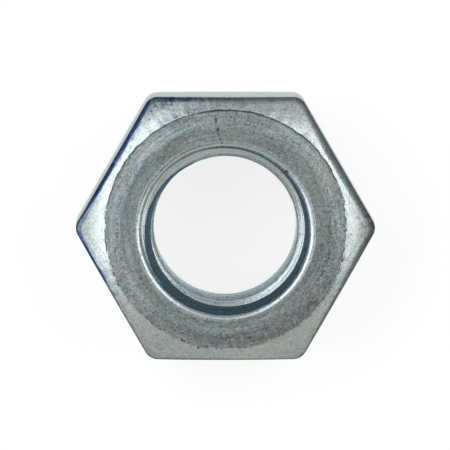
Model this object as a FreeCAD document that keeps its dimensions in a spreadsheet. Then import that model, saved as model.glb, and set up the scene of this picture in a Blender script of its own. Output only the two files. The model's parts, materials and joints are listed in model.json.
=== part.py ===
"""Hex nut, M12 x 1.75, right-hand thread, chamfered and countersunk on both sides.

The nut stands on its lower bearing face. The origin is the centre of that face, +Z is the thread
axis and +X runs through a corner of the hexagon. Lengths are millimetres and angles are degrees.

The nut is made as a forged and tapped one is: a hexagonal blank, its corners rounded, both faces
turned to a 30 degree chamfer, the hole pierced and countersunk, and the thread cut last.
"""

import FreeCAD, Part
import os
from math import asin, atan2, cos, pi, sin, sqrt

import Sketcher

NODE = "hex_nut"

DRIVING_SIZES = (
    ("across_flats", 19.0, "width across opposite flats"),
    ("nut_height", 10.0, "height from one bearing face to the other"),
    ("corner_radius", 1.0, "rounding of the six upright corners"),
    ("bearing_diameter", 17.4, "flat bearing face, where the chamfer starts"),
    ("chamfer_angle", 30.0, "mean slope of the chamfer against the bearing face"),
    ("chamfer_crown", 14.0, "radius of the chamfer's gently rounded profile"),
    ("root_diameter", 12.2, "root circle of the groove, tapped oversize to leave room for the plating"),
    ("thread_pitch", 1.75, "rise of the thread in one turn"),
    ("minor_diameter", 10.32, "clear hole inside the thread's crests"),
    ("flank_angle", 30.0, "slope of a thread flank against a plane across the axis"),
    ("root_width", 0.4375, "flat at the bottom of the groove, a quarter of the pitch"),
    ("thread_start", 0.01, "height of the groove's middle at +X, in its first whole turn"),
    ("groove_reach", 0.1, "distance that the groove's profile runs inside the crests"),
    ("countersink_diameter", 12.38, "mouth of the countersink, before its lip is rounded"),
    ("countersink_angle", 30.0, "slope of the countersink's wall against the axis"),
    ("lip_radius", 0.43, "rounding between bearing face and countersink"),
    ("overrun", 1.0, "distance that each cut runs past the metal"),
)

SIDES = 6
CENTRE = FreeCAD.Vector()
UP = FreeCAD.Vector(0, 0, 1)
ORIGIN_POINT = (-1, 1)
HORIZONTAL_AXIS = -1
SAME = 1e-4
LEAST_CUT = 1.0


def add_sizes(document):
    """A sheet with one row for each driving size: what it means, and its value under its alias."""
    sheet = document.addObject("Spreadsheet::Sheet", "sizes")
    for row, (alias, value, meaning) in enumerate(DRIVING_SIZES, start=1):
        sheet.set(f"A{row}", meaning)
        sheet.set(f"B{row}", str(value))
        sheet.setAlias(f"B{row}", alias)
    document.recompute()
    return sheet


def new_sketch(body, name, role):
    """An empty sketch on the origin plane of the body that has this role."""
    plane = next(item for item in body.Origin.OriginFeatures if item.Role == role)
    sketch = body.newObject("Sketcher::SketchObject", name)
    sketch.AttachmentSupport = [(plane, "")]
    sketch.MapMode = "FlatFace"
    return sketch


def bind(sketch, constraint, name, expression):
    """Name a dimension of a sketch and drive it from the sheet."""
    sketch.renameConstraint(constraint, name)
    sketch.setExpression(f"Constraints.{name}", expression)


def number(sketch, text):
    """The value of an expression on the sheet, as a plain number."""
    value = sketch.evalExpression(text)
    return getattr(value, "Value", value)


def join_ends(sketch, pieces):
    """Join each piece of an outline to the next, and the last to the first."""
    for piece, following in zip(pieces, pieces[1:] + pieces[:1]):
        sketch.addConstraint(Sketcher.Constraint("Coincident", piece, 2, following, 1))


def crown_arc(start, end, radius):
    """The short arc of this radius from start to end, which runs anticlockwise."""
    chord = end - start
    half = chord.Length / 2
    inward = FreeCAD.Vector(-chord.y, chord.x, 0).normalize()
    centre = (start + end) / 2 + inward * sqrt(radius**2 - half**2)
    first = atan2(start.y - centre.y, start.x - centre.x)
    return Part.ArcOfCircle(Part.Circle(centre, UP, radius), first, first + 2 * asin(half / radius))


def add_outline(sketch, name, corners, crown=None):
    """A closed outline of straight lines, each corner given by two expressions on the sheet.

    With a crown, the last stretch is an arc of that radius.
    """
    sketch.Document.recompute()
    points = [FreeCAD.Vector(*(number(sketch, text) for text in corner), 0) for corner in corners]
    pieces = [Part.LineSegment(a, b) for a, b in zip(points, points[1:] + points[:1])]
    if crown:
        pieces[-1] = crown_arc(points[-1], points[0], number(sketch, crown))
    edges = [sketch.addGeometry(piece) for piece in pieces]
    join_ends(sketch, edges)
    for index, (edge, point, corner) in enumerate(zip(edges, points, corners)):
        across = Sketcher.Constraint("DistanceX", *ORIGIN_POINT, edge, 1, point.x)
        up = Sketcher.Constraint("DistanceY", *ORIGIN_POINT, edge, 1, point.y)
        bind(sketch, sketch.addConstraint(across), f"{name}_across_{index}", corner[0])
        bind(sketch, sketch.addConstraint(up), f"{name}_up_{index}", corner[1])
    if crown:
        arc = sketch.addConstraint(Sketcher.Constraint("Radius", edges[-1], number(sketch, crown)))
        bind(sketch, arc, f"{name}_crown", crown)


def hexagonal_blank(body, sizes):
    """A hexagonal bar as long as the nut is high, with a corner on +X and its corners rounded."""
    sketch = new_sketch(body, "hexagon", "XY_Plane")
    radius = sizes.across_flats / 2 / cos(pi / SIDES)
    turns = [2 * pi * k / SIDES for k in range(SIDES)]
    corners = [FreeCAD.Vector(radius * cos(turn), radius * sin(turn), 0) for turn in turns]
    ends = corners[1:] + corners[:1]
    lines = [sketch.addGeometry(Part.LineSegment(a, b)) for a, b in zip(corners, ends)]
    join_ends(sketch, lines)
    circle = sketch.addGeometry(Part.Circle(CENTRE, UP, radius), True)
    sketch.addConstraint(Sketcher.Constraint("Coincident", circle, 3, *ORIGIN_POINT))
    for line in lines:
        sketch.addConstraint(Sketcher.Constraint("PointOnObject", line, 1, circle))
    for line in lines[1:]:
        sketch.addConstraint(Sketcher.Constraint("Equal", lines[0], line))
    sketch.addConstraint(Sketcher.Constraint("PointOnObject", lines[0], 1, HORIZONTAL_AXIS))
    size = sketch.addConstraint(Sketcher.Constraint("Radius", circle, radius))
    bind(sketch, size, "corner_circle", "sizes.across_flats / 2 / cos(30 deg)")

    bar = body.newObject("PartDesign::Pad", "bar")
    bar.Profile = sketch
    bar.setExpression("Length", "sizes.nut_height")
    body.Document.recompute()

    upright = [
        f"Edge{index}"
        for index, edge in enumerate(bar.Shape.Edges, start=1)
        if abs(edge.Vertexes[0].Z - edge.Vertexes[-1].Z) > sizes.nut_height / 2
    ]
    rounded = body.newObject("PartDesign::Fillet", "upright_corners")
    rounded.Base = (bar, upright)
    rounded.setExpression("Radius", "sizes.corner_radius")


def turn(body, name, profile):
    """Turn a closed profile round the thread axis and cut it away."""
    cut = body.newObject("PartDesign::Groove", name)
    cut.Profile = profile
    cut.ReferenceAxis = (profile, ["V_Axis"])
    cut.Angle = 360
    cut.Refine = False
    return cut


def chamfers(body, sizes):
    """Turn the corners of both faces down to a gently crowned cone round the bearing face."""
    edge = "sizes.bearing_diameter / 2"
    past = "(sizes.across_flats / 2 / cos(30 deg) + sizes.overrun)"
    drop = f"({past} - {edge}) * tan(sizes.chamfer_angle * 1 deg)"
    top = "sizes.nut_height"
    sketch = new_sketch(body, "chamfer_profile", "XZ_Plane")
    add_outline(sketch, "top", (
        (edge, top),
        (edge, f"{top} + sizes.overrun"),
        (past, f"{top} + sizes.overrun"),
        (past, f"{top} - {drop}"),
    ), crown="sizes.chamfer_crown")
    add_outline(sketch, "foot", (
        (past, drop),
        (past, "-sizes.overrun"),
        (edge, "-sizes.overrun"),
        (edge, "0"),
    ), crown="sizes.chamfer_crown")
    turn(body, "chamfers", sketch)


def pierced_hole(body, sizes):
    """The hole at the thread's minor diameter, its circle drawn as six arcs, one behind each flat."""
    sketch = new_sketch(body, "hole_circle", "XY_Plane")
    radius = sizes.minor_diameter / 2
    circle = Part.Circle(CENTRE, UP, radius)
    arcs = [
        sketch.addGeometry(Part.ArcOfCircle(circle, 2 * pi * k / SIDES, 2 * pi * (k + 1) / SIDES))
        for k in range(SIDES)
    ]
    for arc in arcs:
        sketch.addConstraint(Sketcher.Constraint("Coincident", arc, 3, *ORIGIN_POINT))
    join_ends(sketch, arcs)
    sketch.addConstraint(Sketcher.Constraint("PointOnObject", arcs[0], 1, HORIZONTAL_AXIS))
    for arc in arcs[1:]:
        sketch.addConstraint(Sketcher.Constraint("Angle", arc, 2 * pi / SIDES))
    size = sketch.addConstraint(Sketcher.Constraint("Radius", arcs[0], radius))
    bind(sketch, size, "minor_radius", "sizes.minor_diameter / 2")

    hole = body.newObject("PartDesign::Pocket", "hole")
    hole.Profile = sketch
    hole.Type = "ThroughAll"
    hole.Midplane = True
    hole.Refine = False


def countersinks(body, sizes):
    """A conical countersink in both faces, with a rounded lip against the bearing face."""
    slope = "tan(sizes.countersink_angle * 1 deg)"
    wide = f"sizes.countersink_diameter / 2 + sizes.overrun * {slope}"
    narrow = "sizes.minor_diameter / 2 - sizes.overrun"
    depth = f"(sizes.countersink_diameter / 2 - sizes.minor_diameter / 2 + sizes.overrun) / {slope}"
    sketch = new_sketch(body, "countersink_profile", "XZ_Plane")
    add_outline(sketch, "top", (
        (narrow, "sizes.nut_height + sizes.overrun"),
        (narrow, f"sizes.nut_height - {depth}"),
        (wide, "sizes.nut_height + sizes.overrun"),
    ))
    add_outline(sketch, "foot", (
        (narrow, "-sizes.overrun"),
        (wide, "-sizes.overrun"),
        (narrow, depth),
    ))
    cut = turn(body, "countersinks", sketch)
    body.Document.recompute()

    mouth = sizes.countersink_diameter / 2
    lips = [
        f"Edge{index}"
        for index, edge in enumerate(cut.Shape.Edges, start=1)
        if isinstance(edge.Curve, Part.Circle) and abs(edge.Curve.Radius - mouth) < SAME
    ]
    rounded = body.newObject("PartDesign::Fillet", "countersink_lips")
    rounded.Base = (cut, lips)
    rounded.setExpression("Radius", "sizes.lip_radius")
    rounded.Refine = False


def thread(body, sizes):
    """Cut the groove of the thread, which rises anticlockwise, from below the nut to above it."""
    inner = "(sizes.minor_diameter / 2 - sizes.groove_reach)"
    outer = "sizes.root_diameter / 2"
    middle = "sizes.thread_start - 2 * sizes.thread_pitch"
    root = "sizes.root_width / 2"
    mouth = f"({root} + ({outer} - {inner}) * tan(sizes.flank_angle * 1 deg))"
    sketch = new_sketch(body, "groove_profile", "XZ_Plane")
    add_outline(sketch, "groove", (
        (inner, f"{middle} - {mouth}"),
        (outer, f"{middle} - {root}"),
        (outer, f"{middle} + {root}"),
        (inner, f"{middle} + {mouth}"),
    ))
    groove = body.newObject("PartDesign::SubtractiveHelix", "thread")
    groove.Profile = sketch
    groove.ReferenceAxis = (sketch, ["V_Axis"])
    groove.Mode = "pitch-height-angle"
    groove.LeftHanded = False
    groove.Reversed = False
    groove.Refine = False
    groove.setExpression("Pitch", "sizes.thread_pitch")
    groove.setExpression("Height", "sizes.nut_height + 4 * sizes.thread_pitch")


def hex_nut(document, sizes):
    """The whole nut, one body, in the order in which a nut is made."""
    body = document.addObject("PartDesign::Body", NODE)
    body.Label = NODE
    body.Placement = FreeCAD.Placement()
    volume = 2 * sizes.across_flats**2 * sizes.nut_height
    for step in (hexagonal_blank, chamfers, pierced_hole, countersinks, thread):
        step(body, sizes)
        document.recompute()
        if body.Shape.Volume > volume - LEAST_CUT:
            raise RuntimeError(f"{step.__name__} took no metal away")
        volume = body.Shape.Volume
        print(f"{step.__name__}: {volume:.1f} cubic millimetres left")
    return body


def outer_size(body):
    """Length, width and height of the nut, without the slack of its spline faces' control points."""
    box = body.Shape.optimalBoundingBox(False, False)
    return box.XLength, box.YLength, box.ZLength


def check(document, sizes, body):
    """Stop if an object failed, a sketch is loose or the nut isn't one sound solid of its size."""
    for item in document.Objects:
        if {"Invalid", "Error"} & set(item.State):
            raise RuntimeError(f"{item.Name} failed: {item.State}")
        if item.TypeId == "Sketcher::SketchObject" and not item.FullyConstrained:
            raise RuntimeError(f"{item.Name} isn't fully constrained")
    shape = body.Shape
    if shape.isNull() or not shape.isValid() or len(shape.Solids) != 1:
        raise RuntimeError("the nut isn't one valid solid")
    width, height = outer_size(body)[1:]
    if abs(width - sizes.across_flats) > SAME or abs(height - sizes.nut_height) > SAME:
        raise RuntimeError("the nut isn't its width across flats or its height")


def main():
    """Make the document, check it and write the nut's shape."""
    document = FreeCAD.newDocument("HexNut")
    sizes = add_sizes(document)
    body = hex_nut(document, sizes)
    check(document, sizes, body)
    os.makedirs("parts", exist_ok=True)
    body.Shape.exportStep(f"parts/{NODE}.step")
    print(f"{NODE}: {' x '.join(f'{size:.3f}' for size in outer_size(body))} mm")


main()
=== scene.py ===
import json
from math import cos, pi, radians, sin, tan
from typing import NamedTuple

import bmesh
import bpy
import numpy as np
from bpy.props import FloatProperty, FloatVectorProperty, PointerProperty
from mathutils import Matrix, Vector


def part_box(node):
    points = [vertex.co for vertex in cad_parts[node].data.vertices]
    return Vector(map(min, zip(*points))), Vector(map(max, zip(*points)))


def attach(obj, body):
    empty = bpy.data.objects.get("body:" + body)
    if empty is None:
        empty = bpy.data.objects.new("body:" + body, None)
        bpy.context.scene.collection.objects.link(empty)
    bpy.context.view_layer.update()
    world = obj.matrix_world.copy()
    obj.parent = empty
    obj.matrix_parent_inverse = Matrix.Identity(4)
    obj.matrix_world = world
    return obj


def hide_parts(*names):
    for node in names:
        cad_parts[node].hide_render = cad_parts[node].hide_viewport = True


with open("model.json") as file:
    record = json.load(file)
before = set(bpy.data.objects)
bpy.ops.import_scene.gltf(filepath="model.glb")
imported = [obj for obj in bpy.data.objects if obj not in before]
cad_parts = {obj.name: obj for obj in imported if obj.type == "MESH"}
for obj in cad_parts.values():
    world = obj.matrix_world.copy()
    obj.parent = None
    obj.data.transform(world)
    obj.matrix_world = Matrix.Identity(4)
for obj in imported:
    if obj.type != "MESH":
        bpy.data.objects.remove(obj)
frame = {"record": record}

bl_info = {
    "name": "Hex nut",
    "version": (1, 0, 0),
    "blender": (4, 5, 0),
    "location": "3D View > Sidebar > Hex nut",
    "description": "A zinc-plated hexagon nut with its thread, and the stage it is shown on",
    "category": "Add Mesh",
}

NODE = "hex_nut"
CAD_LOW, CAD_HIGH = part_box(NODE)
THREAD = next(mount for mount in frame["record"]["mounts"] if mount["name"] == "thread")
MM = 0.001
TURN = 2 * pi
SIXTH = pi / 3

# The kinds of surface, in the order of LOOKS.
FACED, FORGED, ROLLED, CUT = range(4)


def length(name, description, default):
    """A length in metres, with its default given in metres too."""
    return FloatProperty(name=name, description=description, default=default, unit="LENGTH", precision=6)


def angle(name, description, degrees):
    """An angle, with its default given in degrees."""
    return FloatProperty(name=name, description=description, default=radians(degrees), subtype="ANGLE")


def power(name, description, default):
    """The power of a light, in watts."""
    return FloatProperty(name=name, description=description, default=default)


def colour(name, description, default):
    """A linear colour."""
    return FloatVectorProperty(
        name=name, description=description, default=default, size=3, subtype="COLOR", min=0, max=1
    )


class HexNutSizes(bpy.types.PropertyGroup):
    """Sizes of the nut, in metres."""

    across_flats: length("Across flats", "Width across opposite flats", CAD_HIGH.y - CAD_LOW.y)
    height: length("Height", "Height between the bearing faces", CAD_HIGH.z - CAD_LOW.z)
    corner_radius: length("Corner radius", "Rounding of the six upright corners", 1.0 * MM)
    bearing_radius: length("Bearing radius", "Radius of the flat bearing face", 8.7 * MM)
    face_break: length("Face break", "Radius where the bearing face starts to fall away", 7.55 * MM)
    face_fall: angle("Face fall", "Slope of the bearing face outside its break", 6.5)
    flattening: length("Flattening", "How far the faced ring falls short of round at +Y and -Y", 0.13 * MM)
    burr: length("Burr", "How far the faced ring stands above the chamfer beside it", 0.06 * MM)
    # Reach of the painted dark-blue reflection in from the outline.
    rim_reach: length("Stain reach", "How far in from the outline the blued stain can reach", 0.85 * MM)
    edge_roll: length("Rolled edge", "Greatest width of the worn edge between chamfer and flat", 0.50 * MM)
    thread_radius: length("Thread radius", "Root radius of the thread", 6.1 * MM)
    minor_radius: length("Minor radius", "Radius of the hole inside the crests", THREAD["dims"]["r_mm"] * MM)
    pitch: length("Pitch", "Rise of the thread in one turn", 1.75 * MM)
    root_width: length("Root width", "Flat at the bottom of the thread's groove", 0.4375 * MM)
    crest_height: length("Crest height", "Height of a crest's middle above the lower face at +X", 0.885 * MM)
    mouth_radius: length("Countersink radius", "Radius of the countersink's mouth", 6.19 * MM)
    mouth_shift: length("Countersink shift", "How far the countersink runs off centre, towards -Y", 0.16 * MM)
    lip: length("Lip", "Reach of the rounded lip of the countersink", 0.25 * MM)
    countersink_slope: angle("Countersink slope", "Slope of the countersink against the axis", 30)
    flank_slope: angle("Flank slope", "Slope of a flank against a plane across the axis", 30)
    chamfer_slope: angle("Chamfer slope", "Mean slope of the chamfer against the bearing face", 30)
    chamfer_crown: length("Chamfer crown", "Radius of the chamfer's rounded profile", 14 * MM)
    chamfer_overrun: length("Chamfer overrun", "How far past the corners the chamfer's arc ends", 1 * MM)


class HexNutFinish(bpy.types.PropertyGroup):
    """Colours of the plated steel and of the stage."""

    zinc: colour("Zinc", "Plain colour of the plating", (0.545, 0.61, 0.625))
    cool: colour("Cool cast", "Blue-green cast of the passivate", (0.46, 0.58, 0.62))
    warm: colour("Warm cast", "Straw cast of the passivate", (0.565, 0.605, 0.54))
    # Painted reflection: the dark blue laid along the upper-left edges.
    painted_reflection: colour("Blued", "Deep blue of thick passivate along the edges", (0.045, 0.11, 0.33))
    # Painted shade: the dark teal laid on the countersinks for the dark band they show.
    deep: colour("Deep teal", "Dark passivate on the countersink", (0.04, 0.10, 0.14))
    # Real dirt in pits and marks, and painted shade along the step outside the faced ring.
    dirt_and_shade: colour("Dirt", "Oil and dirt in pits and under edges", (0.05, 0.045, 0.04))
    rust: colour("Rust", "Speck of rust on the lip", (0.35, 0.04, 0.03))
    floor: colour("Floor", "Sheet that the nut lies on", (0.34, 0.34, 0.34))


class HexNutStage(bpy.types.PropertyGroup):
    """Camera and light."""

    distance: length("Camera distance", "From the lens to the upper bearing face", 0.65)
    lean_back: angle("Camera lean", "How far the camera stands towards +Y of straight above", 3.5)
    lean_side: angle("Camera side lean", "How far the camera stands towards -X of straight above", 0.55)
    view_width: length("View width", "Width seen at the upper bearing face", 32.46 * MM)
    aim: length("Aim", "Distance of the picture's middle from the axis, towards +Y", 0.30 * MM)
    aim_side: length("Side aim", "Distance of the picture's middle from the axis, towards -X", 0.05 * MM)
    key_power: power("Window light", "Power of the light at the left", 0.355)
    fill_power: power("Right light", "Power of the light at the right", 0.27)


# ---------------------------------------------------------------- shape

EDGE_WANDER = 0.045 * MM  # how far the faced ring's edge wanders in and out
STEP_HALF = 0.06 * MM  # from the ring's edge to either side of the step there
STEP_FADE = 0.5 * MM  # how far the step's depth carries on over the chamfer
BREAK_SOFTNESS = 0.07 * MM  # rounding where the ring starts to fall away
CREST_SOFTNESS = 0.14 * MM  # rounding of the thread's crests
SEAM_SOFTNESS = 0.03 * MM  # rounding between the thread and a countersink
DEEP_SHADE_FADE = 0.04 * MM  # reach over which the countersink's deep colour, a painted shade, ends at the thread
WELD_REACH = 0.0005 * MM  # points closer than this are one point
SHARP_DEGREES = 38  # edges that bend more than this stay sharp

# Tilt of the worn edge in degrees, against the share of its rows.
WORN_SHARES = (0, 0.35, 0.8, 1)
WORN_TILTS = (29, 41, 50, 88)

# Patches of painted shade on the chamfer, streaked by scuff lines: the middle and width of each in
# degrees, its strength, and the stretch of the chamfer that it is held to.
PAINTED_SHADE_PATCHES = (
    (92, 17, 0.50, "all"),
    (113, 11, 0.90, "beside ring"),
    (0, 14, 0.70, "at corner"),
    (118, 14, 0.70, "at corner"),
    (107, 11, 0.50, "outward"),
    (168, 35, 0.33, "outward"),
    (30, 25, 0.12, "all"),
    (150, 22, 0.22, "all"),
)


def column_angles(sizes):
    """Angles of the grid's columns over one turn, close together at the rounded corners.

    A corner is an arc of normals from -30 to +30 degrees about its middle. A flat is the rest, with
    even steps of angle.
    """
    radius = sizes.corner_radius
    centre = (sizes.across_flats / 2 - radius) / cos(pi / 6)
    normals = np.linspace(-pi / 6, pi / 6, 11)
    corner = np.arctan2(radius * np.sin(normals), centre + radius * np.cos(normals))
    flat = np.linspace(corner[-1], SIXTH + corner[0], 42)[1:-1]
    sixth = np.concatenate((corner, flat))
    turns = np.concatenate([sixth + SIXTH * k for k in range(6)])
    start = turns.min()
    return np.append(turns, start + TURN)


def hexagon_radius(sizes, theta):
    """Radius of the hexagon with rounded corners at each angle: a line across a flat, an arc at a corner."""
    radius = sizes.corner_radius
    centre = (sizes.across_flats / 2 - radius) / cos(pi / 6)
    beside = np.abs((theta + SIXTH / 2) % SIXTH - SIXTH / 2)
    reach = np.arctan2(radius / 2, centre + radius * cos(pi / 6))
    across = sizes.across_flats / 2 / np.cos(beside - pi / 6)
    inside = np.maximum(radius**2 - (centre * np.sin(beside)) ** 2, 0)
    around = centre * np.cos(beside) + np.sqrt(inside)
    return np.where(beside < reach, around, across)


def chamfer_depth(sizes, radius):
    """Depth of the chamfer below the bearing face at a radius: an arc that bulges from its chord.

    The chord starts at the bearing face's edge, falls at the mean slope and ends past the corners.
    """
    span = sizes.across_flats / 2 / cos(pi / 6) + sizes.chamfer_overrun - sizes.bearing_radius
    half = span / cos(sizes.chamfer_slope) / 2
    inward = (sizes.chamfer_crown**2 - half**2) ** 0.5
    middle = half * cos(sizes.chamfer_slope) - inward * sin(sizes.chamfer_slope)
    deep = half * sin(sizes.chamfer_slope) + inward * cos(sizes.chamfer_slope)
    out = radius - sizes.bearing_radius
    return deep - np.sqrt(sizes.chamfer_crown**2 - (out - middle) ** 2)


def bend_between(first, corner, last, steps):
    """A quadratic curve from first to last, pulled to corner. Each is a pair of arrays (radius, height)."""
    t = np.linspace(0, 1, steps)[:, None]
    weights = ((1 - t) ** 2, 2 * t * (1 - t), t**2)
    return tuple(sum(w * part for w, part in zip(weights, parts)) for parts in zip(first, corner, last))


def unevenness(theta, waves, seed):
    """A smooth repeating wobble round the nut, from -1 to 1: a sum of whole sine waves with set phases."""
    draw = np.random.default_rng(seed)
    phases = draw.uniform(0, TURN, len(waves))
    strengths = draw.uniform(0.5, 1.0, len(waves))
    total = sum(s * np.sin(n * theta + p) for n, p, s in zip(waves, phases, strengths))
    return total / strengths.sum()


def bell(theta, middle, width):
    """A bell over the angle round the nut, 1 at its middle. The middle and the width are in degrees."""
    past = (theta - radians(middle) + pi) % TURN - pi
    return np.exp(-((past / radians(width)) ** 2))


def countersink_mouth(sizes, theta):
    """Radius of the countersink's mouth at each angle: a circle whose middle is a little off the axis."""
    return sizes.mouth_radius - sizes.mouth_shift * np.cos(theta - radians(75))


def ring_edge(sizes, theta):
    """Radius where the faced ring ends: uneven, and a little short of round at +Y and -Y."""
    edge = sizes.bearing_radius - sizes.flattening * np.sin(theta) ** 8
    return edge + EDGE_WANDER * unevenness(theta, (11, 23, 41, 67), 9)


def step_strength(theta):
    """How strongly the step outside the ring shows at each angle: ragged, and most near +Y."""
    ragged = unevenness(theta, (3, 7, 16, 29, 53, 71), 4)
    return np.clip(0.45 + 0.5 * np.cos(theta - radians(98)) + 0.8 * ragged, 0.03, 1.3)


def roll_width(sizes, theta):
    """Width of the worn edge at each angle: wide towards +X and +Y, narrow towards -Y, and uneven."""
    up = theta - radians(90)
    wear = 0.6 + 0.32 * np.cos(up) - 0.15 * np.cos(2 * up) + 0.3 * np.cos(theta - radians(15))
    wear += 0.12 * unevenness(theta, (5, 9, 14, 31), 2)
    return sizes.edge_roll * np.maximum(wear, 0.28)


def lip_rows(sizes, mouth):
    """The rounded lip between the countersink and the ring."""
    slope = sizes.countersink_slope
    foot = (mouth - sizes.lip * sin(slope), sizes.lip * cos(slope) + 0 * mouth)
    return bend_between(foot, (mouth, 0 * mouth), (mouth + sizes.lip, 0 * mouth), 8)


def ring_rows(sizes, inner, outer):
    """The faced ring between two radii. Its depth bends from none to the face's fall at the break."""
    radius = inner + np.linspace(0, 1, 18)[1:, None] * (outer - inner)
    beyond = radius - sizes.face_break
    depth = tan(sizes.face_fall) * (beyond + np.sqrt(beyond**2 + BREAK_SOFTNESS**2)) / 2
    return radius, depth


def step_rows(edge, depth, step):
    """The small step down at the ring's edge, from a depth."""
    radius = np.array((edge - 0.75 * STEP_HALF, edge, edge + 0.035 * MM, edge + STEP_HALF))
    return radius, np.array((depth, depth + 0.4 * step, depth + step, depth + step + 0.01 * MM))


def chamfer_rows(sizes, edge, outer, depth, step):
    """The chamfer from the step's foot to the worn edge, with the step's depth dying away on it."""
    inner = edge + STEP_HALF
    radius = inner + np.linspace(0, 1, 16)[1:, None] * (outer - inner)
    return radius, chamfer_depth(sizes, radius) + depth + step * np.exp(-(radius - edge) / STEP_FADE)


def worn_rows(radius, depth, width):
    """The worn edge that leaves the chamfer at a radius and depth and ends upright, width further out.

    Its tilt grows slowly to 50 degrees, and then quickly to upright. Radius and depth are the running
    sums of the tilt's cosine and sine, stretched to the width.
    """
    steps = np.linspace(0, 1, 15)
    tilt = np.radians(np.interp(steps, WORN_SHARES, WORN_TILTS))[:, None]
    outward = np.cumsum(np.cos(tilt), axis=0) / np.cos(tilt).sum()
    downward = np.cumsum(np.sin(tilt), axis=0) / np.cos(tilt).sum()
    return radius + outward * width, depth + downward * width


def flat_rows(sizes, side, depth):
    """The flat from a depth down to mid-height."""
    below = np.linspace(0, 1, 7)[1:, None] * (sizes.height / 2 - depth)
    return side + 0 * below, depth + below


def outer_half(sizes, theta):
    """Radius and depth below the bearing face, from the countersink's lip out and down to mid-height.

    In order: the rounded lip, the ring, the small ragged step where facing stopped, the crowned
    chamfer, the worn edge and half of the flat. Each row is one step down the profile. Also returns
    the kind of each row, and the points' shares of painted shade along the step, deep colour (painted
    shade on the lip) and closeness to the rim.
    """
    mouth = countersink_mouth(sizes, theta)
    edge = ring_edge(sizes, theta)
    side = hexagon_radius(sizes, theta)
    strength = step_strength(theta)
    step = sizes.burr * strength
    roll = roll_width(sizes, theta)

    lip = lip_rows(sizes, mouth)
    ring = ring_rows(sizes, mouth + sizes.lip, edge - STEP_HALF)
    low = ring[1][-1]
    ledge = step_rows(edge, low, step)
    chamfer = chamfer_rows(sizes, edge, side - roll, low, step)
    worn = worn_rows(side - roll, chamfer[1][-1], roll)
    flat = flat_rows(sizes, side, worn[1][-1])

    parts = (lip, ring, ledge, chamfer, worn, flat)
    counts = [len(part[0]) for part in parts]
    radius, depth = (np.concatenate([part[k] for part in parts]) for k in (0, 1))
    zone = np.repeat((CUT, FACED, FORGED, FORGED, FORGED, ROLLED), counts)

    ring_end, _, chamfer_end, worn_end = np.cumsum(counts)[1:5]
    shares = {name: np.zeros_like(radius) for name in ("dirt_and_shade", "deep", "rim")}
    # Painted shade: the lip's first row takes the countersink's dark teal.
    shares["deep"][0] = 1
    # Painted shade: a dark line along the step outside the faced ring.
    shares["dirt_and_shade"][ring_end : ring_end + 3] = np.clip(strength, 0, 1)
    inward = side - radius[:chamfer_end]
    shares["rim"][:chamfer_end] = np.clip(1 - inward / sizes.rim_reach, 0, 1)
    shares["rim"][chamfer_end:worn_end] = np.linspace(0.95, 0.6, worn_end - chamfer_end)[:, None]
    return radius, depth, zone, shares


def thread_rows(sizes):
    """Heights of the bore's rows at +X, in shares of the pitch: crest, flank, root and flank again."""
    depth = sizes.thread_radius - sizes.minor_radius
    root = sizes.root_width / 2 / sizes.pitch
    crest = 0.5 - root - depth * tan(sizes.flank_slope) / sizes.pitch
    flank = np.linspace(crest, 0.5 - root, 9)
    return np.concatenate((flank, 1 - flank[::-1], (1.0,)))


def larger(first, second, soft):
    """The larger of two values, with the corner where they cross rounded off over a reach of soft."""
    return (first + second + np.sqrt((first - second) ** 2 + soft**2)) / 2


def bore_wall(sizes, theta):
    """Radius and height of the bore's wall. Its rows climb with the thread, one pitch in a turn.

    The free radius at a height is the largest of the thread's and the two countersinks'. The thread's
    grows from its crest at the minor radius, along a flank, to its root. Rows that would leave the
    wall's two ends are held at the ends, where they meet. The last value is each point's share of
    deep colour, which is painted shade on the countersinks.
    """
    pitch = sizes.pitch
    slope = tan(sizes.countersink_slope)
    ends = sizes.lip * cos(sizes.countersink_slope)
    turns = np.arange(-3, int(sizes.height / pitch) + 3)
    base = (turns[:, None] + thread_rows(sizes)[None, :]).ravel() * pitch + sizes.crest_height
    rise = theta / TURN * pitch
    height = np.clip(base[:, None] + rise[None, :], ends, sizes.height - ends)
    keep = (height.max(1) > ends) & (height.min(1) < sizes.height - ends)
    first, last = np.flatnonzero(keep)[[0, -1]]
    height = height[first - 1 : last + 2]

    share_up = ((height - sizes.crest_height - rise) / pitch) % 1.0
    from_root = np.maximum(np.abs(share_up - 0.5) * pitch - sizes.root_width / 2, 0)
    flank = sizes.thread_radius - from_root / tan(sizes.flank_slope)
    thread = larger(flank, sizes.minor_radius, CREST_SOFTNESS)
    mouth = countersink_mouth(sizes, theta)
    above = mouth - (sizes.height - height) * slope
    below = mouth - height * slope
    cone = np.maximum(above, below)
    end = (height <= ends) | (height >= sizes.height - ends)
    at_lip = mouth - sizes.lip * sin(sizes.countersink_slope)
    radius = np.where(end, at_lip, larger(thread, cone, SEAM_SOFTNESS))
    # Painted shade: the countersinks carry the dark teal.
    deep = np.where(end, 1, np.clip((cone - thread) / DEEP_SHADE_FADE + 0.5, 0, 1))
    return radius, height, deep


def reflection_side(theta):
    """Share of the painted dark-blue reflection along the edges at each angle: most at 158 degrees, a little
    more at 114, none opposite.
    """
    return np.clip(1.15 * np.cos(theta - radians(158)) - 0.15 + 0.2 * bell(theta, 114, 9), 0, 1.4)


def painted_shade_share(sizes, theta, radius, height):
    """Share of painted shade: patches on the upper chamfer, each a bell of the angle that is
    held to its stretch of the radius."""
    past_ring = radius - sizes.bearing_radius
    stretches = {
        "all": 1.0,
        "beside ring": np.exp(-((past_ring / (0.5 * MM)) ** 2)),
        "outward": np.clip((past_ring - 0.4 * MM) / (0.8 * MM), 0, 1),
        "at corner": np.clip((radius - sizes.across_flats / 2) / (0.6 * MM), 0, 1),
    }
    patches = sum(
        strength * bell(theta, middle, width) * stretches[stretch]
        for middle, width, strength, stretch in PAINTED_SHADE_PATCHES
    )
    off_ring = np.clip(past_ring / (0.05 * MM), 0, 1)
    above_flats = np.clip((height - sizes.height + 2.0 * MM) / (0.5 * MM), 0, 1)
    return off_ring * patches * above_flats


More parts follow.
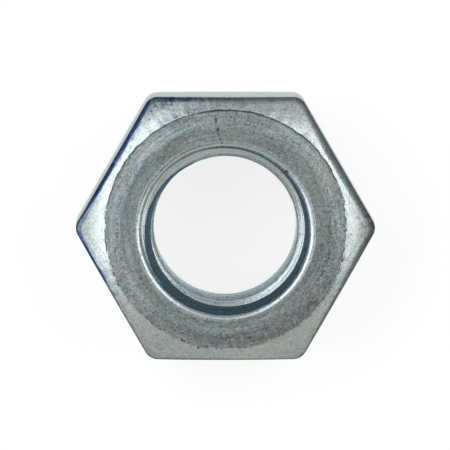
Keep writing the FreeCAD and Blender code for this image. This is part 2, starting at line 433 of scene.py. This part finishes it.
def nut_grid(sizes):
    """The whole nut as one closed loop of rows round the axis: up the bore, out over the top, down
    the flats, in under the foot and back to the bore.

    Returns the points, the kind of each row, and the points' shares: painted shade along the step,
    deep colour (painted shade on the countersinks), closeness to the rim, side of the painted blue
    reflection, distance in from the outline, and painted shade on the chamfer.
    """
    theta = column_angles(sizes)
    bore_radius, bore_height, bore_shade = bore_wall(sizes, theta)
    half_radius, half_depth, half_zone, half_shares = outer_half(sizes, theta)
    radius = np.concatenate((bore_radius, half_radius, half_radius[::-1][1:]))
    height = np.concatenate((bore_height, sizes.height - half_depth, half_depth[::-1][1:]))
    zone = np.concatenate((np.full(len(bore_radius), CUT), half_zone, half_zone[::-1][1:]))
    in_bore = {"dirt_and_shade": 0 * bore_radius, "deep": bore_shade, "rim": 0 * bore_radius}
    shares = {
        name: np.concatenate((in_bore[name], half, half[::-1][1:])) for name, half in half_shares.items()
    }
    # Painted reflection: dark blue along the edges, half as strong on the lower half.
    shares["reflection_share"] = reflection_side(theta) * np.where(height > sizes.height / 2, 1.0, 0.5)
    shares["away"] = hexagon_radius(sizes, theta) - radius
    # Painted shade: dark patches on the upper chamfer.
    shares["painted_shade"] = painted_shade_share(sizes, theta, radius, height)
    points = np.stack((radius * np.cos(theta), radius * np.sin(theta), height), axis=-1)
    return points, zone, shares


def mesh_from_grid(name, points, zone, shares, materials):
    """A closed smooth mesh from a grid whose last row meets its first and whose last column meets its
    first. Corners that fall together are merged, which closes both seams. Each share becomes an
    attribute of the points."""
    rows, columns = points.shape[:2]
    index = np.arange(rows * columns).reshape(rows, columns)
    upper = np.roll(index, -1, axis=0)
    quads = np.stack((index[:, :-1], upper[:, :-1], upper[:, 1:], index[:, 1:]), axis=-1).reshape(-1, 4)
    mesh = bpy.data.meshes.new(name)
    mesh.from_pydata(points.reshape(-1, 3), [], quads)
    for material in materials:
        mesh.materials.append(material)
    mesh.polygons.foreach_set("material_index", np.repeat(zone, columns - 1).astype(np.int32))
    for label, values in shares.items():
        carried = mesh.attributes.new(label, "FLOAT", "POINT")
        carried.data.foreach_set("value", values.ravel().astype(np.float32))
    weld(mesh)
    mesh.polygons.foreach_set("use_smooth", np.ones(len(mesh.polygons), dtype=bool))
    mesh.set_sharp_from_angle(angle=radians(SHARP_DEGREES))
    return mesh


def weld(mesh):
    """Merge points that fall together and drop faces that have no area."""
    shell = bmesh.new()
    shell.from_mesh(mesh)
    bmesh.ops.remove_doubles(shell, verts=shell.verts, dist=WELD_REACH)
    bmesh.ops.recalc_face_normals(shell, faces=shell.faces)
    shell.to_mesh(mesh)
    shell.free()
    mesh.update()


def new_object(name, data):
    """An object for data, in the scene, at the origin."""
    thing = bpy.data.objects.new(name, data)
    bpy.context.scene.collection.objects.link(thing)
    return thing


# ---------------------------------------------------------------- finish


def feed(tree, socket, source):
    """Give an input a value, or another node's output."""
    if isinstance(source, bpy.types.NodeSocket):
        tree.links.new(source, socket)
    else:
        socket.default_value = source


def calc(tree, operation, *sources, clamp=False):
    """Output of a Math node."""
    maths = tree.nodes.new("ShaderNodeMath")
    maths.operation = operation
    maths.use_clamp = clamp
    for socket, source in zip(maths.inputs, sources):
        feed(tree, socket, source)
    return maths.outputs[0]


def spread(tree, value, low, high, new_low=0.0, new_high=1.0):
    """A value's range from low to high, stretched to a new range and held inside it."""
    stretch = tree.nodes.new("ShaderNodeMapRange")
    for socket, source in zip(stretch.inputs, (value, low, high, new_low, new_high)):
        feed(tree, socket, source)
    return stretch.outputs[0]


def blend(tree, factor, first, second, kind="MIX"):
    """A colour between two colours, or their product if kind is MULTIPLY and the factor is 1."""
    mix = tree.nodes.new("ShaderNodeMix")
    mix.data_type = "RGBA"
    mix.blend_type = kind
    for index, source in ((0, factor), (6, first), (7, second)):
        feed(tree, mix.inputs[index], source)
    return mix.outputs[2]


def noise(tree, place, scale, detail=2.0, roughness=0.5):
    """A cloud of values about a half."""
    cloud = tree.nodes.new("ShaderNodeTexNoise")
    for name, source in (("Vector", place), ("Scale", scale), ("Detail", detail), ("Roughness", roughness)):
        feed(tree, cloud.inputs[name], source)
    return cloud.outputs["Fac"]


def arrow(tree, operation, *sources):
    """Output of a Vector Math node: a number for a dot product or a length, a vector otherwise."""
    maths = tree.nodes.new("ShaderNodeVectorMath")
    maths.operation = operation
    for socket, source in zip(maths.inputs, sources):
        feed(tree, socket, source)
    return maths.outputs["Value" if operation in ("DOT_PRODUCT", "LENGTH") else "Vector"]


def scaled(tree, vector, factor):
    """A vector times a number."""
    maths = tree.nodes.new("ShaderNodeVectorMath")
    maths.operation = "SCALE"
    feed(tree, maths.inputs["Vector"], vector)
    feed(tree, maths.inputs["Scale"], factor)
    return maths.outputs["Vector"]


def shaded(tree, tone, shade):
    """A colour times a number."""
    grey = tree.nodes.new("ShaderNodeCombineColor")
    for socket in grey.inputs[:3]:
        feed(tree, socket, shade)
    return blend(tree, 1.0, tone, grey.outputs[0], "MULTIPLY")


def seen_by_camera(tree, output, plain, other):
    """Show one shader to the camera and another to everything else."""
    mix = tree.nodes.new("ShaderNodeMixShader")
    camera_ray = tree.nodes.new("ShaderNodeLightPath").outputs["Is Camera Ray"]
    for socket, source in zip(mix.inputs, (camera_ray, other, plain)):
        feed(tree, socket, source)
    feed(tree, output, mix.outputs[0])


def attribute(tree, name):
    """A share that the mesh's points carry."""
    carried = tree.nodes.new("ShaderNodeAttribute")
    carried.attribute_name = name
    return carried.outputs["Fac"]


def new_group(name, inputs, outputs):
    """An empty node group. Inputs and outputs are pairs of name and socket kind, with a default."""
    group = bpy.data.node_groups.new(name, "ShaderNodeTree")
    for label, kind, default in inputs:
        socket = group.interface.new_socket(label, in_out="INPUT", socket_type=kind)
        if default is not None:
            socket.default_value = default
    for label, kind in outputs:
        group.interface.new_socket(label, in_out="OUTPUT", socket_type=kind)
    return group, group.nodes.new("NodeGroupInput").outputs, group.nodes.new("NodeGroupOutput").inputs


def place_group(tree, group, **sources):
    """A node group in a tree, its inputs fed by name. Underscores stand for spaces."""
    placed = tree.nodes.new("ShaderNodeGroup")
    placed.node_tree = group
    for name, source in sources.items():
        feed(tree, placed.inputs[name.replace("_", " ")], source)
    return placed.outputs


def turning_marks():
    """Lines that a tool leaves: a cloud that changes fast with a distance and slowly round the axis."""
    group, given, result = new_group(
        "Tool marks",
        (
            ("Vector", "NodeSocketVector", None),
            ("Distance", "NodeSocketFloat", 0.0),
            ("Spacing", "NodeSocketFloat", 0.0002),
            ("Drift", "NodeSocketFloat", 1.0),
        ),
        (("Value", "NodeSocketFloat"),),
    )
    split = group.nodes.new("ShaderNodeSeparateXYZ")
    feed(group, split.inputs[0], given["Vector"])
    across, along = split.outputs[:2]
    squares = [calc(group, "POWER", part, 2.0) for part in (across, along)]
    radius = calc(group, "SQRT", calc(group, "ADD", *squares))
    around = group.nodes.new("ShaderNodeCombineXYZ")
    for socket, part in zip(around.inputs, (across, along)):
        share = calc(group, "DIVIDE", part, radius)
        feed(group, socket, calc(group, "MULTIPLY", share, given["Drift"]))
    feed(group, around.inputs[2], calc(group, "DIVIDE", given["Distance"], given["Spacing"]))
    feed(group, result["Value"], noise(group, around.outputs[0], 1.0, 3.0, 0.6))
    return group


def speckle():
    """Fine crystals of zinc: a sharp-grained cloud of this size."""
    group, given, result = new_group(
        "Speckle",
        (
            ("Vector", "NodeSocketVector", None),
            ("Size", "NodeSocketFloat", 0.00012),
        ),
        (("Value", "NodeSocketFloat"),),
    )
    cloud = noise(group, given["Vector"], calc(group, "DIVIDE", 1.0, given["Size"]), 2.0, 0.7)
    feed(group, result["Value"], spread(group, cloud, 0.25, 0.75))
    return group


def passivate(finish):
    """The passivate's cast, which wanders between blue-green and straw over a few millimetres."""
    group, given, result = new_group(
        "Passivate",
        (
            ("Vector", "NodeSocketVector", None),
            ("Reach", "NodeSocketFloat", 0.003),
            ("Strength", "NodeSocketFloat", 0.5),
        ),
        (("Color", "NodeSocketColor"),),
    )
    scale = calc(group, "DIVIDE", 1.0, given["Reach"])
    broad = noise(group, given["Vector"], scale, 3.0, 0.6)
    fine = noise(group, given["Vector"], calc(group, "MULTIPLY", scale, 2.9), 3.0, 0.6)
    cool = calc(group, "MULTIPLY", spread(group, broad, 0.45, 0.68), given["Strength"])
    warm = calc(group, "MULTIPLY", spread(group, fine, 0.48, 0.70), given["Strength"])
    zinc = (*finish.zinc, 1)
    tinted = blend(group, cool, zinc, (*finish.cool, 1))
    feed(group, result["Color"], blend(group, warm, tinted, (*finish.warm, 1)))
    return group


def ragged_mask():
    """A share spread over the surface, made a mask with a ragged border by a cloud of this size."""
    group, given, result = new_group(
        "Ragged mask",
        (
            ("Vector", "NodeSocketVector", None),
            ("Share", "NodeSocketFloat", 0.0),
            ("Size", "NodeSocketFloat", 0.0003),
            ("Ragged", "NodeSocketFloat", 0.5),
            ("Low", "NodeSocketFloat", 0.4),
            ("High", "NodeSocketFloat", 0.6),
        ),
        (("Mask", "NodeSocketFloat"),),
    )
    cloud = noise(group, given["Vector"], calc(group, "DIVIDE", 1.0, given["Size"]), 2.0, 0.6)
    shift = calc(group, "MULTIPLY", calc(group, "SUBTRACT", cloud, 0.5), given["Ragged"])
    moved = calc(group, "ADD", given["Share"], shift)
    feed(group, result["Mask"], spread(group, moved, given["Low"], given["High"]))
    return group


def scratch():
    """A mark from one point to another: the mask falls off with distance from the line between them,
    and a cloud makes its width uneven."""
    group, given, result = new_group(
        "Scratch",
        (
            ("Vector", "NodeSocketVector", None),
            ("Start", "NodeSocketVector", None),
            ("End", "NodeSocketVector", None),
            ("Width", "NodeSocketFloat", 0.00004),
            ("Ragged", "NodeSocketFloat", 1.0),
        ),
        (("Mask", "NodeSocketFloat"),),
    )
    span = arrow(group, "SUBTRACT", given["End"], given["Start"])
    offset = arrow(group, "SUBTRACT", given["Vector"], given["Start"])
    products = [arrow(group, "DOT_PRODUCT", part, span) for part in (offset, span)]
    nearest = scaled(group, span, calc(group, "DIVIDE", *products, clamp=True))
    distance = arrow(group, "LENGTH", arrow(group, "SUBTRACT", offset, nearest))
    cloud = noise(group, given["Vector"], 2600.0, 3.0, 0.7)
    uneven = calc(group, "MULTIPLY", spread(group, cloud, 0.42, 0.62, -0.85, 1.2), given["Ragged"])
    width = calc(group, "MULTIPLY", given["Width"], calc(group, "ADD", uneven, 1.0))
    share = calc(group, "DIVIDE", distance, width)
    feed(group, result["Mask"], spread(group, share, 0.6, 1.4, 1.0, 0.0))
    return group


def pits():
    """Sparse small pits: spots round the points of a scattered set, kept where a cloud is high."""
    group, given, result = new_group(
        "Pits",
        (
            ("Vector", "NodeSocketVector", None),
            ("Spacing", "NodeSocketFloat", 0.0008),
            ("Size", "NodeSocketFloat", 0.1),
            ("Share", "NodeSocketFloat", 0.6),
        ),
        (("Mask", "NodeSocketFloat"),),
    )
    scale = calc(group, "DIVIDE", 1.0, given["Spacing"])
    cells = group.nodes.new("ShaderNodeTexVoronoi")
    feed(group, cells.inputs["Vector"], given["Vector"])
    feed(group, cells.inputs["Scale"], scale)
    split = group.nodes.new("ShaderNodeSeparateColor")
    feed(group, split.inputs[0], cells.outputs["Color"])
    chosen = calc(group, "GREATER_THAN", split.outputs[0], given["Share"])
    size = calc(group, "MULTIPLY", given["Size"], split.outputs[1])
    spot = spread(group, calc(group, "SUBTRACT", cells.outputs["Distance"], size), -0.02, 0.02, 1.0, 0.0)
    feed(group, result["Mask"], calc(group, "MULTIPLY", spot, chosen))
    return group


def centred(tree, value, strength):
    """A cloud about a half, made a swing about zero."""
    return calc(tree, "MULTIPLY", calc(tree, "SUBTRACT", value, 0.5), strength)


def total(tree, first, *others):
    """Sum of several values."""
    for other in others:
        first = calc(tree, "ADD", first, other)
    return first


def at(across, along, depth):
    """A spot given in millimetres: across, along, and depth below the upper bearing face."""
    return (across * MM, along * MM, CAD_HIGH.z - depth * MM)


# Each mark runs from one spot to another (in millimetres), with a width, how ragged it is, how strong
# it is, and its colour.
MARKS = (
    ((-0.80, 8.62, 0), (-0.68, 7.60, 0), 0.055 * MM, 1.0, 0.8, "dirt_and_shade"),
    ((-0.62, 7.19, 0), (-0.61, 7.13, 0), 0.09 * MM, 1.0, 0.8, "dirt_and_shade"),
    ((-0.56, 6.95, 0), (-0.26, 6.20, 0), 0.04 * MM, 1.0, 0.5, "dirt_and_shade"),
    ((0.78, 8.34, 0), (0.78, 8.34, 0.3), 0.075 * MM, 0.1, 0.7, "dirt_and_shade"),
    ((-1.98, -8.57, 0), (-1.98, -8.57, 0.5), 0.085 * MM, 0.1, 0.9, "dirt_and_shade"),
    ((4.40, 4.20, 0.12), (4.43, 4.17, 0.12), 0.08 * MM, 1.0, 0.9, "rust"),
)


BAND_RATIO = 6  # spacing of the broad bands, in spacings of the tool marks
BAND_DRIFT = 1.2
COARSE_RATIO = 3.3  # size of the coarse blotches, in sizes of the crystals
PIT_SPACING = 0.0011
PIT_SIZE = 0.10
SCUFF_SPACING = 0.0007
SCUFF_DRIFT = 40.0
PAINTED_SHADE_DEPTH = 0.65  # how much of the brightness the painted shade takes, swung by the scuff lines
STREAK_SPACING = 0.0002
STREAK_DRIFT = 5.0


class Look(NamedTuple):
    """How one kind of surface looks. Lengths are in metres; shades are swings of the brightness."""

    level: float  # brightness of the plating
    roughness: float
    ring_spacing: float  # from one tool mark to the next
    drift: float  # how fast the tool marks change round the nut
    ring_shade: float
    band_shade: float
    ring_bump: float  # height of the tool marks, in reliefs
    grain: float  # size of the zinc's crystals
    grain_shade: float
    blotch_shade: float
    grain_bump: float  # height of the crystals, in reliefs
    relief: float
    cast: float  # strength of the passivate's cast
    cast_reach: float
    clean: float  # share of spots without a pit
    lines: str  # the way of the tool marks: round the axis, along the outline, or level


LOOKS = {
    "faced": Look(
        level=0.725, roughness=0.34, ring_spacing=0.00016, drift=2.5, ring_shade=0.7,
        band_shade=0.8, ring_bump=1.0, grain=0.00008, grain_shade=0.9, blotch_shade=0.36,
        grain_bump=0.7, relief=0.000009, cast=0.9, cast_reach=0.0026, clean=0.93, lines="round",
    ),
    "forged": Look(
        level=1.03, roughness=0.29, ring_spacing=0.00018, drift=3.0, ring_shade=0.5,
        band_shade=0.25, ring_bump=1.0, grain=0.00011, grain_shade=0.5, blotch_shade=0.3,
        grain_bump=0.5, relief=0.000013, cast=0.6, cast_reach=0.0025, clean=0.965, lines="outline",
    ),
    "rolled": Look(
        level=1.0, roughness=0.31, ring_spacing=0.004, drift=9.0, ring_shade=0.3,
        band_shade=0.15, ring_bump=0.6, grain=0.00011, grain_shade=0.4, blotch_shade=0.35,
        grain_bump=0.6, relief=0.000015, cast=0.5, cast_reach=0.0025, clean=0.96, lines="level",
    ),
    "cut": Look(
        level=1.2, roughness=0.24, ring_spacing=0.00010, drift=0.8, ring_shade=0.5,
        band_shade=0.1, ring_bump=1.0, grain=0.0001, grain_shade=0.2, blotch_shade=0.15,
        grain_bump=0.2, relief=0.000026, cast=0.3, cast_reach=0.002, clean=0.95, lines="round",
    ),
}


def line_distance(tree, look, place):
    """The distance that tells tool marks apart: from the outline, from the foot, or from the axis."""
    if look.lines == "outline":
        return attribute(tree, "away")
    if look.lines == "level":
        return arrow(tree, "DOT_PRODUCT", place, (0, 0, 1))
    return arrow(tree, "LENGTH", arrow(tree, "MULTIPLY", place, (1, 1, 0)))


def plating_shade(tree, look, put, distance, clouds):
    """Brightness of the plating: its level, swung by the clouds and darkened by painted shade in patches,
    streaked by scuff lines.
    """
    swings = (
        ("rings", look.ring_shade), ("bands", look.band_shade),
        ("grains", look.grain_shade), ("coarse", look.blotch_shade),
    )
    shade = total(tree, look.level, *(centred(tree, clouds[name], swing) for name, swing in swings))
    lines = put("turning", Distance=distance, Spacing=SCUFF_SPACING, Drift=SCUFF_DRIFT)
    scuffs = calc(tree, "ADD", spread(tree, lines, 0.35, 0.65), 0.25)
    # Painted shade: the patches darken the plating, more where a scuff line runs.
    streaked_shade = calc(tree, "MULTIPLY", attribute(tree, "painted_shade"), scuffs)
    kept = calc(tree, "SUBTRACT", 1.0, calc(tree, "MULTIPLY", streaked_shade, PAINTED_SHADE_DEPTH))
    return calc(tree, "MULTIPLY", shade, kept)


def painted_reflection_mask(tree, put):
    """Where the painted dark-blue reflection lies: near the rim towards the upper left, in ragged streaks
    along the outline.
    """
    near = calc(tree, "MULTIPLY", attribute(tree, "rim"), attribute(tree, "reflection_share"))
    away = attribute(tree, "away")
    streaks = put("turning", Distance=away, Spacing=STREAK_SPACING, Drift=STREAK_DRIFT)
    streaked = calc(tree, "ADD", near, centred(tree, streaks, 1.7))
    return put("ragged", Share=streaked, Size=0.0006, Ragged=0.7, Low=0.42, High=0.85)


def stained(tree, finish, put, spots, base):
    """A colour with painted shade (dark teal on the countersinks, a dark line along the step), a painted
    blue reflection along the edges, dirt in pits, and single marks laid over it.
    """
    # Painted shade: dark teal on the countersinks.
    deep = put("ragged", Share=attribute(tree, "deep"), Size=0.0002, Ragged=0.25, Low=0.3, High=0.6)
    # Painted shade: a dark ragged line along the step outside the faced ring.
    step_shade = put("ragged", Share=attribute(tree, "dirt_and_shade"), Size=0.0002, Ragged=1.7, Low=0.2, High=0.45)
    layers = [
        # Painted reflection: dark blue streaks along the upper-left edges.
        (deep, 0.93, "deep"), (painted_reflection_mask(tree, put), 0.9, "painted_reflection"),
        (spots, 0.85, "dirt_and_shade"), (step_shade, 0.85, "dirt_and_shade"),
    ]
    for start, end, width, ragged, strength, tone in MARKS:
        mark = put("scratch", Start=at(*start), End=at(*end), Width=width, Ragged=ragged)
        layers.append((mark, strength, tone))
    for mask, strength, tone in layers:
        base = blend(tree, calc(tree, "MULTIPLY", mask, strength), base, (*getattr(finish, tone), 1))
    return base


def plating_bump(tree, look, clouds):
    """Normal of the plating, tilted by the tool marks, the crystals and the pits."""
    heights = (
        ("rings", look.ring_bump), ("grains", look.grain_bump),
        ("coarse", look.grain_bump), ("spots", -1.0),
    )
    height = total(tree, *(calc(tree, "MULTIPLY", clouds[name], share) for name, share in heights))
    bump = tree.nodes.new("ShaderNodeBump")
    bump.inputs["Strength"].default_value = 1.0
    bump.inputs["Distance"].default_value = look.relief
    feed(tree, bump.inputs["Height"], height)
    return bump.outputs[0]


def steel_material(name, groups, finish, look):
    """Zinc-plated steel. look gives how strongly each effect shows on this kind of surface."""
    material = bpy.data.materials.new(name)
    material.use_nodes = True
    tree = material.node_tree
    shader = tree.nodes["Principled BSDF"]
    place = tree.nodes.new("ShaderNodeTexCoord").outputs["Object"]

    def put(group, **sources):
        return place_group(tree, groups[group], Vector=place, **sources)[0]

    distance = line_distance(tree, look, place)
    band_spacing = look.ring_spacing * BAND_RATIO
    clouds = {
        "rings": put("turning", Distance=distance, Spacing=look.ring_spacing, Drift=look.drift),
        "bands": put("turning", Distance=distance, Spacing=band_spacing, Drift=BAND_DRIFT),
        "grains": put("speckle", Size=look.grain),
        "coarse": put("speckle", Size=look.grain * COARSE_RATIO),
        "spots": put("pits", Spacing=PIT_SPACING, Size=PIT_SIZE, Share=look.clean),
    }
    cast = put("passivate", Reach=look.cast_reach, Strength=look.cast)
    plating = shaded(tree, cast, plating_shade(tree, look, put, distance, clouds))
    pitted = calc(tree, "MULTIPLY", clouds["spots"], 0.3)
    rough = total(tree, look.roughness, centred(tree, clouds["coarse"], 0.12), pitted)

    feed(tree, shader.inputs["Base Color"], stained(tree, finish, put, clouds["spots"], plating))
    feed(tree, shader.inputs["Roughness"], rough)
    feed(tree, shader.inputs["Normal"], plating_bump(tree, look, clouds))
    shader.inputs["Metallic"].default_value = 1.0
    return material


# ---------------------------------------------------------------- operators


class MakeHexNut(bpy.types.Operator):
    """Make the nut's body, with its thread, and its plated finish"""

    bl_idname = "mesh.make_hex_nut"
    bl_label = "Hex nut"

    def execute(self, context):
        sizes = context.scene.hex_nut_sizes
        finish = context.scene.hex_nut_finish
        groups = {
            "turning": turning_marks(),
            "speckle": speckle(),
            "pits": pits(),
            "passivate": passivate(finish),
            "ragged": ragged_mask(),
            "scratch": scratch(),
        }
        materials = [steel_material(f"{kind}_zinc", groups, finish, look) for kind, look in LOOKS.items()]
        points, zone, shares = nut_grid(sizes)
        mesh = mesh_from_grid("plated_hex_nut", points, zone, shares, materials)
        nut = new_object("plated_hex_nut", mesh)
        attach(nut, "root")
        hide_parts(NODE)
        return {"FINISHED"}


class MakeHexNutStage(bpy.types.Operator):
    """Make the floor, the lights and the camera"""

    bl_idname = "scene.make_hex_nut_stage"
    bl_label = "Stage"

    def execute(self, context):
        stage = context.scene.hex_nut_stage
        finish = context.scene.hex_nut_finish
        make_floor(finish)
        make_surroundings(context.scene)
        make_lights(stage)
        make_camera(context.scene, stage)
        return {"FINISHED"}


FLOOR_REACH = 0.5
FLOOR_DROP = 0.02 * MM  # so that the sheet and the nut's lower face don't coincide
FLOOR_GLOW = 0.765
BENCH_TONE = (0.97, 1.0, 1.0, 1)
PLAIN_TONE = (0.9, 0.9, 0.9, 1)
FAR_TONE = (0.92, 0.95, 0.96, 1)
NEAR_TONE = (1.20, 1.17, 1.08, 1)
HORIZON_TONE = (0.5, 0.75, 1.15, 1)

# Brightness of the room, from the horizon at 0 to straight above at 1.
ROOM_STOPS = ((0.0, 0.16), (0.15, 0.16), (0.34, 0.44), (0.7, 0.50), (0.93, 0.40), (1.0, 0.36))


def make_floor(finish):
    """A pale sheet under the nut. Seen in the nut itself, the sheet is pale only close by."""
    corners = np.array(((-1, -1, 0), (1, -1, 0), (1, 1, 0), (-1, 1, 0))) * FLOOR_REACH
    mesh = bpy.data.meshes.new("floor")
    mesh.from_pydata(corners - (0, 0, FLOOR_DROP), [], [(0, 1, 2, 3)])
    material = bpy.data.materials.new("pale_sheet")
    material.use_nodes = True
    tree = material.node_tree
    sheet = tree.nodes["Principled BSDF"]
    sheet.inputs["Base Color"].default_value = (*finish.floor, 1)
    sheet.inputs["Roughness"].default_value = 0.9
    sheet.inputs["Emission Color"].default_value = (1, 1, 1, 1)
    sheet.inputs["Emission Strength"].default_value = FLOOR_GLOW
    distance = arrow(tree, "LENGTH", tree.nodes.new("ShaderNodeTexCoord").outputs["Object"])
    bench = tree.nodes.new("ShaderNodeEmission")
    feed(tree, bench.inputs["Strength"], spread(tree, distance, 0.012, 0.025, 0.85, 0.14))
    feed(tree, bench.inputs["Color"], BENCH_TONE)
    seen_by_camera(tree, tree.nodes["Material Output"].inputs["Surface"], sheet.outputs[0], bench.outputs[0])
    mesh.materials.append(material)
    new_object("floor", mesh)


def room_tone(tree, across, along, height):
    """Colour of the room: cool towards +Y, warm towards -Y, and blue near the horizon at the left."""
    side = blend(tree, spread(tree, along, 0.1, -0.6), FAR_TONE, NEAR_TONE)
    low = spread(tree, height, 0.3, 0.15)
    blue = calc(tree, "MULTIPLY", low, spread(tree, across, 0.1, -0.4))
    return blend(tree, blue, side, HORIZON_TONE)


def room_level(tree, across, along, height):
    """Brightness of the room: by height, and overhead brighter towards the upper left."""
    ramp = tree.nodes.new("ShaderNodeValToRGB")
    feed(tree, ramp.inputs[0], height)
    while len(ramp.color_ramp.elements) < len(ROOM_STOPS):
        ramp.color_ramp.elements.new(0.5)
    for element, (position, level) in zip(ramp.color_ramp.elements, ROOM_STOPS):
        element.position = position
        element.color = (level, level, level, 1)
    towards = total(tree, calc(tree, "MULTIPLY", across, -0.64), calc(tree, "MULTIPLY", along, 0.77))
    overhead = spread(tree, height, 0.8, 0.94)
    lean = calc(tree, "MULTIPLY", spread(tree, towards, -0.22, 0.22, -0.9, 0.9), overhead)
    return calc(tree, "MULTIPLY", ramp.outputs[0], calc(tree, "ADD", lean, 1.0))


def make_surroundings(scene):
    """The room, as the nut reflects it. The camera sees it plain and pale."""
    world = bpy.data.worlds.new("studio")
    scene.world = world
    world.use_nodes = True
    tree = world.node_tree
    tree.nodes.clear()
    split = tree.nodes.new("ShaderNodeSeparateXYZ")
    feed(tree, split.inputs[0], tree.nodes.new("ShaderNodeTexCoord").outputs["Generated"])
    room = tree.nodes.new("ShaderNodeBackground")
    feed(tree, room.inputs[0], room_tone(tree, *split.outputs))
    feed(tree, room.inputs[1], room_level(tree, *split.outputs))
    plain = tree.nodes.new("ShaderNodeBackground")
    feed(tree, plain.inputs[0], PLAIN_TONE)
    output = tree.nodes.new("ShaderNodeOutputWorld")
    seen_by_camera(tree, output.inputs[0], plain.outputs[0], room.outputs[0])
    scene.view_settings.view_transform = "Standard"


def facing(spot, way):
    """Matrix of an object at spot that looks back along way, with its own X level and its Y upwards."""
    upright = Vector((0, 1, 0)) if abs(way.z) > 0.9 else Vector((0, 0, 1))
    across = upright.cross(way).normalized()
    return Matrix.Translation(spot) @ Matrix((across, way.cross(across), way)).transposed().to_4x4()


def area_light(name, azimuth, elevation, distance, width, depth, power, tone):
    """A soft rectangular light that faces the nut. The azimuth and the elevation are in degrees."""
    light = bpy.data.lights.new(name, "AREA")
    light.shape = "RECTANGLE"
    light.size = width
    light.size_y = depth
    light.energy = power
    light.color = tone
    lamp = new_object(name, light)
    flat = cos(radians(elevation))
    way = Vector((cos(radians(azimuth)) * flat, sin(radians(azimuth)) * flat, sin(radians(elevation))))
    lamp.matrix_world = facing(way * distance, way)
    lamp.visible_camera = False


def make_lights(stage):
    """A window at the left, and a weaker one at the right."""
    area_light(
        "window", azimuth=163, elevation=53, distance=0.32, width=0.36, depth=0.19,
        power=stage.key_power, tone=(0.97, 0.99, 1.0),
    )
    area_light(
        "right_light", azimuth=15, elevation=53, distance=0.35, width=0.28, depth=0.17,
        power=stage.fill_power, tone=(1.0, 0.965, 0.93),
    )


def make_camera(scene, stage):
    """A long lens almost straight above the nut, with +Y up in the picture."""
    lens = bpy.data.cameras.new("camera")
    lens.lens_unit = "FOV"
    lens.angle = 2 * np.arctan2(stage.view_width / 2, stage.distance)
    lens.clip_start = 0.01
    lens.clip_end = 10
    camera = new_object("camera", lens)
    aim = Vector((-stage.aim_side, stage.aim, CAD_HIGH.z))
    way = Vector((-tan(stage.lean_side), tan(stage.lean_back), 1)).normalized()
    camera.matrix_world = facing(aim + way * stage.distance, way)
    scene.camera = camera


class HexNutPanel(bpy.types.Panel):
    """Lists the nut's operators and settings."""

    bl_idname = "VIEW3D_PT_hex_nut"
    bl_label = "Hex nut"
    bl_space_type = "VIEW_3D"
    bl_region_type = "UI"
    bl_category = "Hex nut"

    def draw(self, context):
        layout = self.layout
        scene = context.scene
        for settings in (scene.hex_nut_sizes, scene.hex_nut_finish, scene.hex_nut_stage):
            column = layout.column()
            for name in type(settings).__annotations__:
                column.prop(settings, name)
        layout.operator(MakeHexNut.bl_idname)
        layout.operator(MakeHexNutStage.bl_idname)


CLASSES = (HexNutSizes, HexNutFinish, HexNutStage, MakeHexNut, MakeHexNutStage, HexNutPanel)


def register():
    for kind in CLASSES:
        bpy.utils.register_class(kind)
    bpy.types.Scene.hex_nut_sizes = PointerProperty(type=HexNutSizes)
    bpy.types.Scene.hex_nut_finish = PointerProperty(type=HexNutFinish)
    bpy.types.Scene.hex_nut_stage = PointerProperty(type=HexNutStage)


def unregister():
    del bpy.types.Scene.hex_nut_stage
    del bpy.types.Scene.hex_nut_finish
    del bpy.types.Scene.hex_nut_sizes
    for kind in reversed(CLASSES):
        bpy.utils.unregister_class(kind)


def main():
    """Make the nut and its stage."""
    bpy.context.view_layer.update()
    register()
    bpy.ops.mesh.make_hex_nut()
    bpy.ops.scene.make_hex_nut_stage()


if __name__ == "__main__":
    main()
